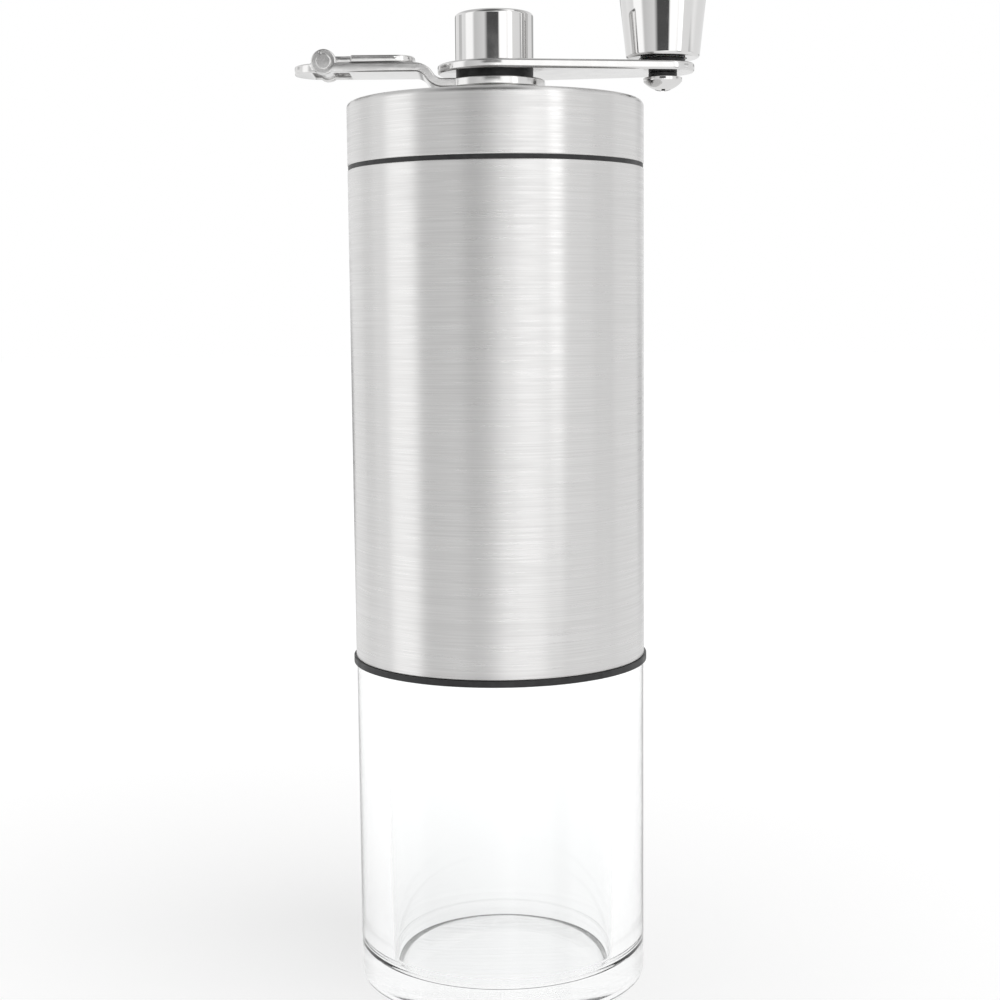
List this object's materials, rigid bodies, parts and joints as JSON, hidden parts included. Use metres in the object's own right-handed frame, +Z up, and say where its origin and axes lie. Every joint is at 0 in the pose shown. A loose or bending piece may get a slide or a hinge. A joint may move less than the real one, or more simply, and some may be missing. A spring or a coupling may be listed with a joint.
{
  "type": "hand crank coffee grinder",
  "caption": "Slim cylindrical hand coffee mill: steel sleeve and cap over a clear screw-on jar, with a flat crank arm, tapered spinning knob, flip tab and adjustable conical burrs.",
  "frame": {"origin": "centre of the jar's flat foot, on the mill's axis", "axes": "+Z up the mill's axis, +X along the crank towards the knob"},
  "size_m": [0.0715, 0.0508, 0.1963],
  "materials": {
    "brushed_steel": "fine brushing round the cylinder",
    "polished_steel": "mirror polished stainless steel",
    "machined_steel": "bright machined",
    "black_plastic": "moulded satin",
    "black_silicone": "soft matte",
    "clear_plastic": "water clear and glossy",
    "white_ceramic": "unglazed",
    "bronze": "sintered",
    "white_nylon": "moulded satin"
  },
  "bodies": {
    "jar": {"jar": "clear_plastic"},
    "neck_seal": {"jar_seal": "black_silicone"},
    "mill_body": {"jar_collar": "black_plastic", "body_sleeve": "brushed_steel", "hopper_liner": "black_plastic", "burr_carrier": "black_plastic", "outer_burr": "white_ceramic", "burr_retainer": "black_plastic", "retainer_screws": "machined_steel", "lower_bridge": "black_plastic", "lower_bush": "bronze", "upper_bridge": "black_plastic", "upper_bush": "bronze"},
    "spindle": {"drive_shaft": "machined_steel", "shaft_clip": "machined_steel", "spring_washer": "machined_steel", "burr_spring": "machined_steel"},
    "burr": {"inner_burr": "white_ceramic", "burr_driver": "black_plastic", "click_plate": "machined_steel"},
    "adjuster": {"adjuster_nut": "black_plastic"},
    "lid": {"cap_shell": "brushed_steel", "cap_plug": "black_plastic", "cap_seal": "black_silicone", "hub_bush": "white_nylon"},
    "crank": {"crank_hub": "machined_steel", "hub_clip": "machined_steel", "thrust_washer": "white_nylon", "lower_arm": "polished_steel", "arm_spacer": "black_plastic", "upper_arm": "polished_steel", "hub_collar": "polished_steel", "hinge_pin": "polished_steel", "handle_screw": "polished_steel", "screw_washer": "black_plastic", "knob_washer": "black_plastic", "knob_nut": "machined_steel"},
    "knob": {"knob": "polished_steel", "knob_sleeve": "white_nylon", "knob_cap": "polished_steel"},
    "tab": {"folding_tab": "polished_steel"}
  },
  "joints": [
    {"name": "mill_lift", "type": "slide", "parent": "jar", "child": "neck_seal", "axis": [0, 0, 1], "range_m": [0, 0.0121]},
    {"name": "mill_turn", "type": "hinge", "parent": "neck_seal", "child": "mill_body", "pos_m": [0, 0, 0.0665], "axis": [0, 0, 1], "range_deg": [0, 1080]},
    {"name": "lid_lift", "type": "slide", "parent": "mill_body", "child": "lid", "axis": [0, 0, 1], "range_m": [0, 0.03]},
    {"name": "crank_turn", "type": "hinge", "parent": "lid", "child": "crank", "pos_m": [0, 0, 0.1481], "axis": [0, 0, 1], "continuous": true},
    {"name": "knob_spin", "type": "hinge", "parent": "crank", "child": "knob", "pos_m": [0.0283, 0, 0.1705], "axis": [0, 0, 1], "continuous": true},
    {"name": "tab_flip", "type": "hinge", "parent": "crank", "child": "tab", "pos_m": [-0.0283, 0, 0.15825], "axis": [0, -1, 0], "range_deg": [0, 145]},
    {"name": "spindle_turn", "type": "hinge", "parent": "mill_body", "child": "spindle", "pos_m": [0, 0, 0.11], "axis": [0, 0, 1], "continuous": true},
    {"name": "burr_feed", "type": "slide", "parent": "spindle", "child": "burr", "axis": [0, 0, 1], "range_m": [-0.00075, 0.00075], "deforming": ["burr_spring"]},
    {"name": "adjuster_turn", "type": "hinge", "parent": "burr", "child": "adjuster", "pos_m": [0, 0, 0.064], "axis": [0, 0, 1], "range_deg": [-400, 400]}
  ],
  "couplings": [
    {"joint": "mill_lift", "follows": "mill_turn", "m_per_rad": 0.00063662},
    {"joint": "spindle_turn", "follows": "crank_turn", "ratio": 1},
    {"joint": "adjuster_turn", "follows": "burr_feed", "rad_per_m": 8377.6}
  ]
}
